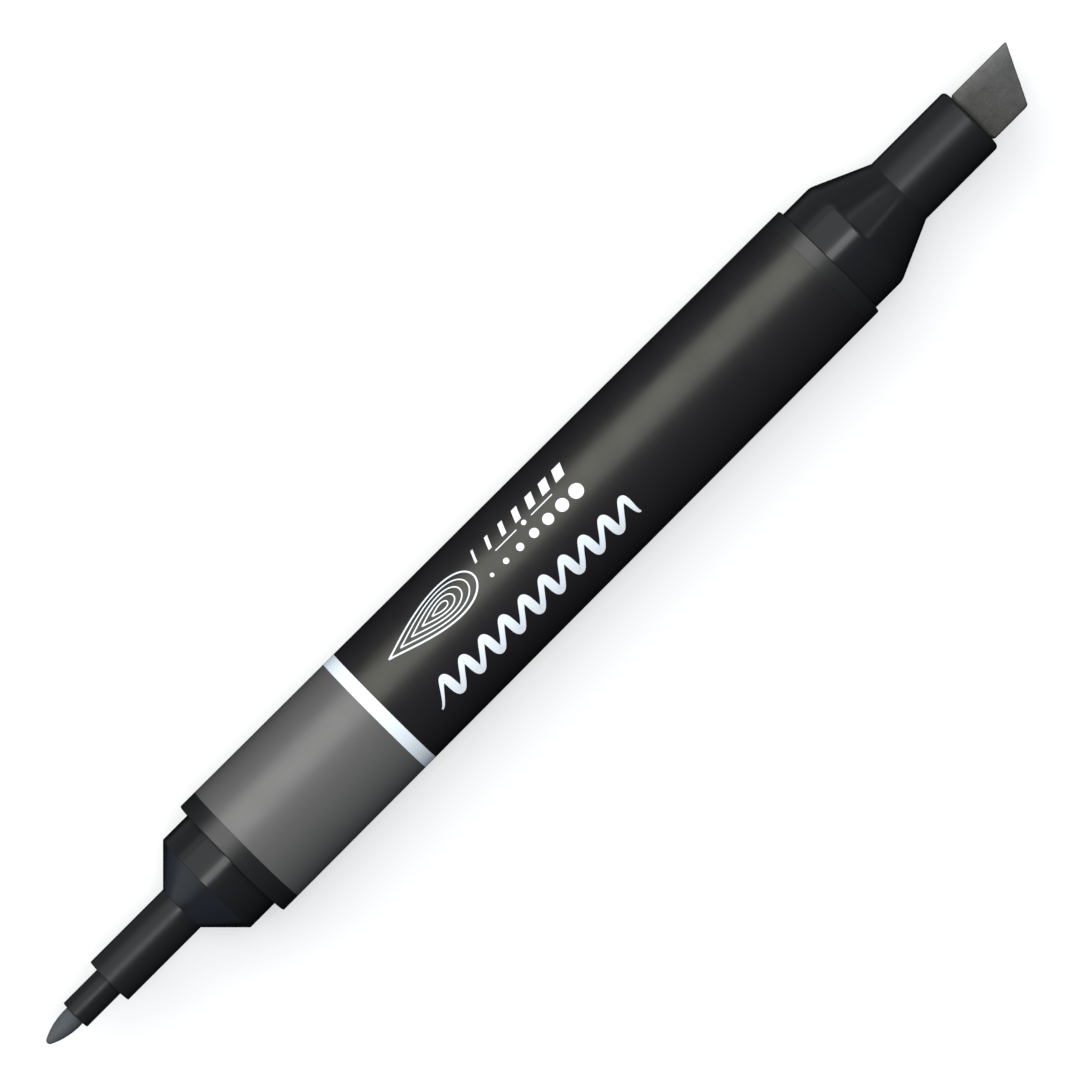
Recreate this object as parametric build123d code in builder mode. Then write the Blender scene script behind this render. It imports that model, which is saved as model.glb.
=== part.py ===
"""Twin-tip felt marker, uncapped: a tapered barrel with a printed label film, a stepped fine nozzle at one
end, a coned chisel nozzle at the other, and the ink reservoir and both felt nibs inside.

The pen lies along X with its barrel resting on z = 0, the chisel nib towards +X and the fine nib towards -X.
The broad faces of the chisel nib are level. All sizes are in millimetres.
"""

from build123d import *
import os
from math import atan2, sqrt, tan

os.makedirs("parts", exist_ok=True)

# Driving dimensions: the barrel
HALF_LENGTH = 73.3  # from the middle of the pen to either writing tip
BARREL_RADIUS_FINE = 7.75  # barrel radius at the fine end, which is also the height of the pen's axis
BARREL_RADIUS_CHISEL = 7.48  # barrel radius at the chisel end
BARREL_FINE_END = -45.65  # x of the barrel's two end faces
BARREL_CHISEL_END = 43.75
BORE_RADIUS = 6.3
BORE_LEAD_IN = 0.4  # chamfer that guides each nozzle's plug into the bore
RIM_ROUNDING = 0.15

# Driving dimensions: the label film
LABEL_FINE_END = -43.45
COLOUR_BAND_END = -24.3
WHITE_RING_END = -22.75
LABEL_CHISEL_END = 41.9
FILM_THICKNESS = 0.08
LABEL_SEAM = 0.4  # gap where the film's two edges meet, under the barrel

# Driving dimensions: the fine nozzle and its nib sleeve
FINE_SEAT_RADIUS = 6.565  # the cap pushes over this seat
FINE_SEAT_END = -49.4
FINE_TUBE_RADIUS = 2.835
FINE_CONE_END = FINE_SEAT_END - (FINE_SEAT_RADIUS - FINE_TUBE_RADIUS)  # a 45 degree cone
FINE_TUBE_END = -64.0
SLEEVE_RADIUS = 1.775
SLEEVE_END = -69.1
SLEEVE_BORE_RADIUS = 1.2
SLEEVE_FLANGE_RADIUS = 2.25
SLEEVE_FLANGE_LENGTH = 1.2
SLEEVE_MOUTH_CHAMFER = 0.12
SLEEVE_MOUTH_LENGTH = 2.0  # plain bore at the mouth, before the vent grooves start
VENT_GROOVE_DEPTH = 0.22
VENT_GROOVE_WIDTH = 0.5
VENT_GROOVE_COUNT = 3
FINE_LEDGE = -53.0  # the sleeve's flange stops against the nozzle here

# Driving dimensions: the chisel nozzle
CHISEL_SEAT_RADIUS = 6.97
CHISEL_SEAT_END = 47.8
CHISEL_TUBE_RADIUS = 4.115
CHISEL_CONE_END = 54.2
CHISEL_TUBE_END = 65.05
CHISEL_FRONT_WALL = 1.2
CHISEL_BORE_RADIUS = 3.25
SHOULDER_ROUNDING = 2.1  # where the seat turns into the cone
FRONT_ROUNDING = 0.45
MOUTH_SIZE = (6.1, 3.45)  # opening that the nib's neck passes through, across Y and Z
MOUTH_CORNER = 0.85
GUIDE_RIB_WIDTH = 0.6
GUIDE_RIB_SPACING = 3.2
GUIDE_RIB_SETBACK = 0.5  # from where the tube's bore starts to where the ribs do

# Driving dimensions: both nozzles
PLUG_LENGTH = 5.2
PLUG_RADIUS = 6.24
PLUG_BORE_RADIUS = 5.2
BEAD_RADIUS = 6.295  # two thin beads on each plug grip the barrel's bore
BEAD_WIDTH = 0.6
BEAD_PLACES = (0.65, 0.25)  # as shares of the plug's length
NOZZLE_WALL = 1.1
RUNNING_GAP = 0.01  # between pieces that are pushed together

# Driving dimensions: the nibs
FINE_NIB_RADIUS = 1.18
FINE_NIB_OGIVE_LENGTH = 3.7
FINE_NIB_OGIVE_ARC = 7.8
FINE_NIB_TAIL = -33.0
FINE_NIB_TAIL_POINT = 1.6  # length of the tail's taper, and the radius that it ends with
FINE_NIB_TAIL_RADIUS = 0.4
CHISEL_HEAD_WIDTH = 6.48
CHISEL_HEAD_THICKNESS = 3.6
CHISEL_HEAD_START = 65.15
CHISEL_HEAD_CHAMFER = 0.35
CHISEL_HEAD_ROUNDING = 0.3  # round the edges of both broad faces
CHISEL_SHORT_SIDE_END = 70.22  # the slanted writing edge runs from here to the tip of the long side
CHISEL_HEEL_ROUNDING = 0.4
CHISEL_TIP_ROUNDING = 0.12
CHISEL_NECK_SIZE = (5.9, 3.3)
CHISEL_NECK_START = 51.0
CHISEL_TAIL_SIZE = (4.4, 2.8)
CHISEL_TAIL_END = 29.0
CHISEL_TAIL_TAPER = 2.5
CHISEL_TAIL_END_SCALE = 0.55
NIB_CORNER = 0.75

# Driving dimensions: the reservoir
RESERVOIR_RADIUS = 5.6
RESERVOIR_WRAP = 0.12
RESERVOIR_GAP = 0.2  # between the reservoir's ends and the nozzles' plugs
WRAP_SETBACK = 0.6  # the fibre stands this far out of its wrap at both ends
RIB_COUNT = 6  # ribs along the barrel's bore, which centre the reservoir
RIB_WIDTH = 0.9
RIB_ROOT = 0.3  # how far each rib runs into the barrel's wall
NIB_HOLE_GAP = 0.05  # the fibre closes round each nib's tail with this gap
HOLE_END_GAP = 0.3  # past each tail's end

AXIS_HEIGHT = BARREL_RADIUS_FINE
CONE_SLOPE = (CHISEL_SEAT_RADIUS - CHISEL_TUBE_RADIUS) / (CHISEL_CONE_END - CHISEL_SEAT_END)

# Where the pieces are drawn: in the profile plane, x runs along the pen and y is the radius.
PEN_AXIS = Axis((0, 0, AXIS_HEIGHT), (1, 0, 0))
PROFILE = Plane(origin=(0, 0, AXIS_HEIGHT), x_dir=(1, 0, 0), z_dir=(0, -1, 0))
BROAD_FACE = Plane(origin=(0, 0, AXIS_HEIGHT), x_dir=(1, 0, 0), z_dir=(0, 0, 1))


def section(x):
    """The plane across the pen at x, with its own x along Y and its own y along Z."""
    return Plane(origin=(x, 0, AXIS_HEIGHT), x_dir=(0, 1, 0), z_dir=(1, 0, 0))


def barrel_radius(x):
    """The barrel's outer radius, which falls evenly from its fine end to its chisel end."""
    share = (x - BARREL_FINE_END) / (BARREL_CHISEL_END - BARREL_FINE_END)
    return BARREL_RADIUS_FINE + share * (BARREL_RADIUS_CHISEL - BARREL_RADIUS_FINE)


def chisel_hollow_x(radius):
    """Where the hollow inside the chisel nozzle's cone has this radius."""
    hollow_seat_radius = CHISEL_SEAT_RADIUS - NOZZLE_WALL * sqrt(1 + CONE_SLOPE**2)
    return CHISEL_SEAT_END + (hollow_seat_radius - radius) / CONE_SLOPE


def plug_outline(end_face, inward):
    """Points of a nozzle's plug from its inner rim to the barrel's end face, with its chamfer and two beads.
    inward is +1 when the plug points towards +X, and -1 when it points towards -X."""
    tip = end_face + inward * PLUG_LENGTH
    points = [
        (tip, PLUG_BORE_RADIUS),
        (tip, PLUG_RADIUS - BORE_LEAD_IN),
        (tip - inward * BORE_LEAD_IN, PLUG_RADIUS),
    ]
    for share in BEAD_PLACES:
        middle = end_face + inward * PLUG_LENGTH * share
        points.append((middle + inward * BEAD_WIDTH / 2, PLUG_RADIUS))
        points.append((middle, BEAD_RADIUS))
        points.append((middle - inward * BEAD_WIDTH / 2, PLUG_RADIUS))
    points.append((end_face, PLUG_RADIUS))
    return points


# The barrel: a tapered tube with a shallow recess for the label film and ribs that centre the reservoir.
with BuildPart() as barrel:
    with BuildSketch(PROFILE) as barrel_wall:
        with BuildLine():
            Polyline(
                (BARREL_FINE_END, BORE_RADIUS),
                (BARREL_FINE_END, BARREL_RADIUS_FINE),
                (LABEL_FINE_END, barrel_radius(LABEL_FINE_END)),
                (LABEL_FINE_END, barrel_radius(LABEL_FINE_END) - FILM_THICKNESS),
                (LABEL_CHISEL_END, barrel_radius(LABEL_CHISEL_END) - FILM_THICKNESS),
                (LABEL_CHISEL_END, barrel_radius(LABEL_CHISEL_END)),
                (BARREL_CHISEL_END, BARREL_RADIUS_CHISEL),
                (BARREL_CHISEL_END, BORE_RADIUS),
                close=True,
            )
        make_face()
        ends = barrel_wall.vertices().group_by(Axis.X)
        fillet([ends[0].sort_by(Axis.Y)[-1], ends[-1].sort_by(Axis.Y)[-1]], RIM_ROUNDING)
        ends = barrel_wall.vertices().group_by(Axis.X)
        chamfer([ends[0].sort_by(Axis.Y)[0], ends[-1].sort_by(Axis.Y)[0]], BORE_LEAD_IN)
    revolve(axis=PEN_AXIS)
    rib_height = BORE_RADIUS - RESERVOIR_RADIUS - RESERVOIR_WRAP - RUNNING_GAP
    rib_start = BARREL_FINE_END + PLUG_LENGTH + RESERVOIR_GAP + WRAP_SETBACK
    rib_end = BARREL_CHISEL_END - PLUG_LENGTH - RESERVOIR_GAP - WRAP_SETBACK
    with BuildSketch(section(rib_start)):
        with PolarLocations(BORE_RADIUS - rib_height, RIB_COUNT):
            Rectangle(rib_height + RIB_ROOT, RIB_WIDTH, align=(Align.MIN, Align.CENTER))
    extrude(amount=rib_end - rib_start)
barrel.part.label = "barrel"

# The printed label film: three zones of one wrap, each with its edges meeting under the barrel.
label_zones = {
    "label_colour_band": (LABEL_FINE_END, COLOUR_BAND_END),
    "label_white_ring": (COLOUR_BAND_END, WHITE_RING_END),
    "label_black_panel": (WHITE_RING_END, LABEL_CHISEL_END),
}
label_films = []
for zone_name, (start, end) in label_zones.items():
    with BuildPart() as zone:
        with BuildSketch(PROFILE):
            with BuildLine():
                Polyline(
                    (start, barrel_radius(start) - FILM_THICKNESS),
                    (start, barrel_radius(start)),
                    (end, barrel_radius(end)),
                    (end, barrel_radius(end) - FILM_THICKNESS),
                    close=True,
                )
            make_face()
        revolve(axis=PEN_AXIS)
        seam_depth = BARREL_RADIUS_FINE - BARREL_RADIUS_CHISEL + 2 * FILM_THICKNESS
        with BuildSketch(section(start)):
            with Locations((0, -BARREL_RADIUS_FINE)):
                Rectangle(LABEL_SEAM, 2 * seam_depth)
        extrude(amount=end - start, mode=Mode.SUBTRACT)
    zone.part.label = zone_name
    label_films.append(zone.part)

# The fine nozzle: plug, cap seat, 45 degree cone and a slim tube that holds the nib sleeve.
with BuildPart() as fine_nozzle:
    cone_shift = NOZZLE_WALL * sqrt(2)
    pocket_radius = SLEEVE_FLANGE_RADIUS + RUNNING_GAP
    with BuildSketch(PROFILE):
        with BuildLine():
            Polyline(
                *plug_outline(BARREL_FINE_END, 1),
                (BARREL_FINE_END, FINE_SEAT_RADIUS),
                (FINE_SEAT_END, FINE_SEAT_RADIUS),
                (FINE_CONE_END, FINE_TUBE_RADIUS),
                (FINE_TUBE_END, FINE_TUBE_RADIUS),
                (FINE_TUBE_END, SLEEVE_RADIUS + RUNNING_GAP),
                (FINE_LEDGE, SLEEVE_RADIUS + RUNNING_GAP),
                (FINE_LEDGE, pocket_radius),
                (FINE_SEAT_END - (FINE_SEAT_RADIUS - pocket_radius) + cone_shift, pocket_radius),
                (FINE_SEAT_END - (FINE_SEAT_RADIUS - PLUG_BORE_RADIUS) + cone_shift, PLUG_BORE_RADIUS),
                close=True,
            )
        make_face()
    revolve(axis=PEN_AXIS)
fine_nozzle.part.label = "fine_nozzle"

# The nib sleeve: pushed into the fine nozzle from inside, with a flange that stops it and three vent grooves.
with BuildPart() as fine_nib_sleeve:
    sleeve_tail = FINE_LEDGE + SLEEVE_FLANGE_LENGTH
    with BuildSketch(PROFILE):
        with BuildLine():
            Polyline(
                (SLEEVE_END, SLEEVE_BORE_RADIUS + SLEEVE_MOUTH_CHAMFER),
                (SLEEVE_END, SLEEVE_RADIUS),
                (FINE_LEDGE, SLEEVE_RADIUS),
                (FINE_LEDGE, SLEEVE_FLANGE_RADIUS),
                (sleeve_tail, SLEEVE_FLANGE_RADIUS),
                (sleeve_tail, SLEEVE_BORE_RADIUS),
                (SLEEVE_END + SLEEVE_MOUTH_CHAMFER, SLEEVE_BORE_RADIUS),
                close=True,
            )
        make_face()
    revolve(axis=PEN_AXIS)
    with BuildSketch(section(SLEEVE_END + SLEEVE_MOUTH_LENGTH)):
        with PolarLocations(SLEEVE_BORE_RADIUS, VENT_GROOVE_COUNT):
            Rectangle(2 * VENT_GROOVE_DEPTH, VENT_GROOVE_WIDTH)
    extrude(amount=sleeve_tail - SLEEVE_END, mode=Mode.SUBTRACT)
fine_nib_sleeve.part.label = "fine_nib_sleeve"

# The chisel nozzle: plug, cap seat, long cone and a wide tube whose front wall has the nib's oblong mouth.
with BuildPart() as chisel_nozzle:
    with BuildSketch(PROFILE) as chisel_nozzle_wall:
        with BuildLine():
            Polyline(
                *plug_outline(BARREL_CHISEL_END, -1),
                (BARREL_CHISEL_END, CHISEL_SEAT_RADIUS),
                (CHISEL_SEAT_END, CHISEL_SEAT_RADIUS),
                (CHISEL_CONE_END, CHISEL_TUBE_RADIUS),
                (CHISEL_TUBE_END, CHISEL_TUBE_RADIUS),
                (CHISEL_TUBE_END, 0),
                (CHISEL_TUBE_END - CHISEL_FRONT_WALL, 0),
                (CHISEL_TUBE_END - CHISEL_FRONT_WALL, CHISEL_BORE_RADIUS),
                (chisel_hollow_x(CHISEL_BORE_RADIUS), CHISEL_BORE_RADIUS),
                (chisel_hollow_x(PLUG_BORE_RADIUS), PLUG_BORE_RADIUS),
                close=True,
            )
        make_face()
        for corner_x, rounding in ((CHISEL_TUBE_END, FRONT_ROUNDING), (CHISEL_SEAT_END, SHOULDER_ROUNDING)):
            corners = chisel_nozzle_wall.vertices().filter_by_position(Axis.X, corner_x, corner_x)
            fillet(corners.sort_by(Axis.Y)[-1], rounding)
    revolve(axis=PEN_AXIS)
    with BuildSketch(section(CHISEL_TUBE_END)):
        RectangleRounded(*MOUTH_SIZE, MOUTH_CORNER)
    extrude(amount=-2 * CHISEL_FRONT_WALL, mode=Mode.SUBTRACT)
    # Four ribs hold the neck of the nib between its broad faces and let air past it.
    rib_face = MOUTH_SIZE[1] / 2
    with BuildSketch(section(chisel_hollow_x(CHISEL_BORE_RADIUS) + GUIDE_RIB_SETBACK)):
        with GridLocations(GUIDE_RIB_SPACING, CHISEL_BORE_RADIUS + rib_face, 2, 2):
            Rectangle(GUIDE_RIB_WIDTH, CHISEL_BORE_RADIUS - rib_face)
    extrude(until=Until.NEXT)
chisel_nozzle.part.label = "chisel_nozzle"

# The fine nib: a round felt rod with an ogive point and a tapered tail that reaches into the reservoir.
with BuildPart() as fine_nib:
    ogive_end = -HALF_LENGTH + FINE_NIB_OGIVE_LENGTH
    arc_drop = FINE_NIB_OGIVE_ARC - FINE_NIB_RADIUS
    nose_radius = (FINE_NIB_OGIVE_ARC**2 - FINE_NIB_OGIVE_LENGTH**2 - arc_drop**2) / (
        2 * (FINE_NIB_OGIVE_ARC - FINE_NIB_OGIVE_LENGTH)
    )
    nose_centre = -HALF_LENGTH + nose_radius
    lean = (ogive_end - nose_centre) / (FINE_NIB_OGIVE_ARC - nose_radius)
    rise = arc_drop / (FINE_NIB_OGIVE_ARC - nose_radius)
    nose_join = (nose_centre - nose_radius * lean, nose_radius * rise)
    with BuildSketch(PROFILE):
        with BuildLine():
            RadiusArc((-HALF_LENGTH, 0), nose_join, nose_radius)
            RadiusArc(nose_join, (ogive_end, FINE_NIB_RADIUS), FINE_NIB_OGIVE_ARC)
            Polyline(
                (ogive_end, FINE_NIB_RADIUS),
                (FINE_NIB_TAIL - FINE_NIB_TAIL_POINT, FINE_NIB_RADIUS),
                (FINE_NIB_TAIL, FINE_NIB_TAIL_RADIUS),
                (FINE_NIB_TAIL, 0),
                (-HALF_LENGTH, 0),
            )
        make_face()
    revolve(axis=PEN_AXIS)
fine_nib.part.label = "fine_nib"

# The chisel nib: a slant-cut head that stops on the nozzle, a neck that fills the mouth, and a slimmer tail.
with BuildPart() as chisel_nib:
    half_width = CHISEL_HEAD_WIDTH / 2
    tip_angle = atan2(CHISEL_HEAD_WIDTH, HALF_LENGTH - CHISEL_SHORT_SIDE_END)
    sharp_tip = HALF_LENGTH + CHISEL_TIP_ROUNDING * (1 / tan(tip_angle / 2) - 1)
    with BuildSketch(BROAD_FACE.offset(-CHISEL_HEAD_THICKNESS / 2)) as head_outline:
        with BuildLine():
            Polyline(
                (CHISEL_HEAD_START, -half_width),
                (CHISEL_SHORT_SIDE_END, -half_width),
                (sharp_tip, half_width),
                (CHISEL_HEAD_START, half_width),
                close=True,
            )
        make_face()
        fillet(head_outline.vertices().sort_by(Axis.X)[-1], CHISEL_TIP_ROUNDING)
        fillet(head_outline.vertices().group_by(Axis.Y)[0].sort_by(Axis.X)[-1], CHISEL_HEEL_ROUNDING)
        chamfer(head_outline.vertices().sort_by(Axis.X)[:2], CHISEL_HEAD_CHAMFER)
    extrude(amount=CHISEL_HEAD_THICKNESS)
    fillet(chisel_nib.faces().filter_by(Axis.Z).edges(), CHISEL_HEAD_ROUNDING)
    neck_root = CHISEL_HEAD_START + CHISEL_HEAD_CHAMFER
    with BuildSketch(section(neck_root)):
        RectangleRounded(*CHISEL_NECK_SIZE, NIB_CORNER)
    extrude(amount=CHISEL_NECK_START - neck_root)
    tail_taper_start = CHISEL_TAIL_END + CHISEL_TAIL_TAPER
    with BuildSketch(section(CHISEL_NECK_START)):
        RectangleRounded(*CHISEL_TAIL_SIZE, NIB_CORNER)
    extrude(amount=tail_taper_start - CHISEL_NECK_START)
    with BuildSketch(section(tail_taper_start)):
        RectangleRounded(*CHISEL_TAIL_SIZE, NIB_CORNER)
    with BuildSketch(section(CHISEL_TAIL_END)):
        RectangleRounded(*CHISEL_TAIL_SIZE, NIB_CORNER)
        scale(by=CHISEL_TAIL_END_SCALE)
    loft()
chisel_nib.part.label = "chisel_nib"

# The ink reservoir: a fibre rod with a hole at each end where a nib's tail has been pushed in.
reservoir_start = BARREL_FINE_END + PLUG_LENGTH + RESERVOIR_GAP
reservoir_end = BARREL_CHISEL_END - PLUG_LENGTH - RESERVOIR_GAP
with BuildPart() as ink_reservoir:
    with BuildSketch(section(reservoir_start)):
        Circle(RESERVOIR_RADIUS)
    extrude(amount=reservoir_end - reservoir_start)
    with BuildSketch(section(reservoir_start)):
        Circle(FINE_NIB_RADIUS + NIB_HOLE_GAP)
    extrude(amount=FINE_NIB_TAIL + HOLE_END_GAP - reservoir_start, mode=Mode.SUBTRACT)
    with BuildSketch(section(reservoir_end)):
        RectangleRounded(*(size + 2 * NIB_HOLE_GAP for size in CHISEL_TAIL_SIZE), NIB_CORNER)
    extrude(amount=CHISEL_TAIL_END - HOLE_END_GAP - reservoir_end, mode=Mode.SUBTRACT)
ink_reservoir.part.label = "ink_reservoir"

# The clear film round the reservoir.
with BuildPart() as reservoir_wrap:
    with BuildSketch(section(reservoir_start + WRAP_SETBACK)):
        Circle(RESERVOIR_RADIUS + RESERVOIR_WRAP)
        Circle(RESERVOIR_RADIUS, mode=Mode.SUBTRACT)
    extrude(amount=reservoir_end - reservoir_start - 2 * WRAP_SETBACK)
reservoir_wrap.part.label = "reservoir_wrap"

pieces = [
    barrel.part,
    *label_films,
    fine_nozzle.part,
    fine_nib_sleeve.part,
    fine_nib.part,
    chisel_nozzle.part,
    chisel_nib.part,
    ink_reservoir.part,
    reservoir_wrap.part,
]
for piece in pieces:
    export_step(piece, f"parts/{piece.label}.step")
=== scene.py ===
"""The looks of the twin-tip felt marker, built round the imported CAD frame.

Everything is in metres in the frame's own axes. The pen lies along X with its chisel nib towards +X, +Z is
up, and the pen's axis runs at the height AXIS_Z. A ring is a list of points round that axis, and most
pieces are rings joined one to the next.
"""

import math

import bmesh
import bpy
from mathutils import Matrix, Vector, noise


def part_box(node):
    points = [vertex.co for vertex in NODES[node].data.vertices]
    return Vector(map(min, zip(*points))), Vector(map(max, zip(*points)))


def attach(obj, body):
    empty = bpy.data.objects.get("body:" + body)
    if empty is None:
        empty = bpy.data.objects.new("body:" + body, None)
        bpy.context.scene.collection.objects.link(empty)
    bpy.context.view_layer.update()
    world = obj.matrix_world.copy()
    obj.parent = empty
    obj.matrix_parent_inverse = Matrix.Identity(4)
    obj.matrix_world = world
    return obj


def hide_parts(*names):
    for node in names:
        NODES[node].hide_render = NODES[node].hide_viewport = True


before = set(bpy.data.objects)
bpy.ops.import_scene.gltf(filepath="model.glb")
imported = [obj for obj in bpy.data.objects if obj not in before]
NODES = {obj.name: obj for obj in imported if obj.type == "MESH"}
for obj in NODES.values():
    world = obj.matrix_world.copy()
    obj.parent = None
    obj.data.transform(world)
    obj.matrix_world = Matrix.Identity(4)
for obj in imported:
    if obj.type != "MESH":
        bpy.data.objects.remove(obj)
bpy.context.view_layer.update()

MM = 0.001
SEGMENTS = 192  # points in a ring
ANGLES = [math.tau * i / SEGMENTS for i in range(SEGMENTS)]
PLACES = {node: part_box(node) for node in NODES}
AXIS_Z = (PLACES["barrel"][0].z + PLACES["barrel"][1].z) / 2


# ---------------------------------------------------------------- sizes read from the frame


def low_x(node):
    """Where a CAD node starts along the pen."""
    return PLACES[node][0].x


def high_x(node):
    """Where a CAD node ends along the pen."""
    return PLACES[node][1].x


def cad_radius(node, x, reach=0.02 * MM):
    """The CAD node's largest distance from the pen's axis, among its points within reach of x."""
    near = [v.co for v in NODES[node].data.vertices if abs(v.co.x - x) < reach]
    return max(math.hypot(p.y, p.z - AXIS_Z) for p in near)


BARREL_ENDS = (low_x("barrel"), high_x("barrel"))
LABEL_ENDS = (low_x("label_colour_band"), high_x("label_black_panel"))
LABEL_RADII = (
    cad_radius("label_colour_band", LABEL_ENDS[0]),
    cad_radius("label_black_panel", LABEL_ENDS[1]),
)


def barrel_radius(x):
    """The barrel's outer radius, which tapers evenly."""
    share = (x - LABEL_ENDS[0]) / (LABEL_ENDS[1] - LABEL_ENDS[0])
    return LABEL_RADII[0] + share * (LABEL_RADII[1] - LABEL_RADII[0])


# ---------------------------------------------------------------- mesh making


def around(x, radius, angle):
    """A point at that radius from the pen's axis. Angle 0 is +Y and a quarter turn is straight up."""
    return Vector((x, radius * math.cos(angle), AXIS_Z + radius * math.sin(angle)))


def ring(x, radius):
    """A closed line round the pen's axis. The radius is a number, or a function of the angle."""
    return [around(x, radius(angle) if callable(radius) else radius, angle) for angle in ANGLES]


def rounded(corners, steps=6):
    """Points of a closed outline of (x, radius, rounding) corners. Each corner is turned by an arc, with a
    point just before and just after it so that the flat stretch beside it shades flat."""
    points = []
    for i, (x, r, rounding) in enumerate(corners):
        here = Vector((x, r))
        before = Vector(corners[i - 1][:2])
        after = Vector(corners[(i + 1) % len(corners)][:2])
        towards_before, towards_after = (before - here).normalized(), (after - here).normalized()
        half_angle = math.acos(max(-1, min(1, towards_before.dot(towards_after)))) / 2
        if rounding == 0 or abs(half_angle - math.pi / 2) < 0.01:
            points.append(here)
            continue
        reach = rounding / math.tan(half_angle)
        support = 0.25 * min(rounding, 0.3 * MM)
        centre = here + (towards_before + towards_after).normalized() * rounding / math.sin(half_angle)
        start = here + towards_before * reach - centre
        turn = start.angle_signed(here + towards_after * reach - centre)
        points.append(here + towards_before * (reach + support))
        for step in range(steps + 1):
            angle = -turn * step / steps
            cos, sin = math.cos(angle), math.sin(angle)
            points.append(centre + Vector((start.x * cos - start.y * sin, start.x * sin + start.y * cos)))
        points.append(here + towards_after * (reach + support))
    return points


def finish_mesh(bm, name, material, sharp_degrees=35):
    """An object of that mesh, with outward normals and smooth shading that breaks at sharp edges."""
    bmesh.ops.recalc_face_normals(bm, faces=bm.faces)
    mesh = bpy.data.meshes.new(name)
    bm.to_mesh(mesh)
    bm.free()
    mesh.shade_smooth()
    mesh.set_sharp_from_angle(angle=math.radians(sharp_degrees))
    mesh.materials.append(material)
    piece = bpy.data.objects.new(name, mesh)
    bpy.context.scene.collection.objects.link(piece)
    return piece


def join_rings(bm, rings, closed_along=False):
    """Faces between each ring and the next. closed_along also joins the last ring to the first."""
    rows = [[bm.verts.new(p) for p in points] for points in rings]
    pairs = list(zip(rows, rows[1:]))
    if closed_along:
        pairs.append((rows[-1], rows[0]))
    for a, b in pairs:
        for i in range(len(a)):
            j = (i + 1) % len(a)
            bm.faces.new((a[i], a[j], b[j], b[i]))
    return rows


def close_end(bm, row, x):
    """Fills the last ring with triangles that meet on the pen's axis at x."""
    middle = bm.verts.new((x, 0, AXIS_Z))
    for i, v in enumerate(row):
        bm.faces.new((v, row[(i + 1) % len(row)], middle))


def lathe(name, corners, material, steps=6):
    """A piece turned round the pen's axis from a closed outline."""
    bm = bmesh.new()
    join_rings(bm, [ring(x, r) for x, r in rounded(corners, steps)], closed_along=True)
    return finish_mesh(bm, name, material)


def near_one_of(angle, count, half_width):
    """Whether the angle is within half_width of one of count evenly spaced places, the first at +Y."""
    pitch = math.tau / count
    return abs((angle + pitch / 2) % pitch - pitch / 2) <= half_width


def oblong_radius(angle, width, height, corner):
    """How far a rounded rectangle's edge is from its middle, in that direction."""
    c, s = abs(math.cos(angle)), abs(math.sin(angle))
    inner_y, inner_z = width / 2 - corner, height / 2 - corner
    side = min(width / 2 / max(c, 1e-9), height / 2 / max(s, 1e-9))
    if side * c > inner_y and side * s > inner_z:
        along = inner_y * c + inner_z * s
        side = along + math.sqrt(max(0.0, along**2 - inner_y**2 - inner_z**2 + corner**2))
    return side


def oblong_ring(x, width, height, corner):
    """A rounded rectangle round the pen's axis, with the same count of points as a circle."""
    return ring(x, lambda angle: oblong_radius(angle, width, height, corner))


BODY_PIECES = bpy.data.collections.new("body_pieces")  # the barrel and its label
GLOSSY_PIECES = bpy.data.collections.new("glossy_pieces")  # the nozzles and the sleeve


def stand_for(piece, node, body):
    """The piece takes a CAD node's place. It rides on the node's body, and the node is hidden."""
    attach(piece, body)
    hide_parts(node)


# ---------------------------------------------------------------- materials

WHITE = (1.0, 1.0, 1.0)


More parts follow.
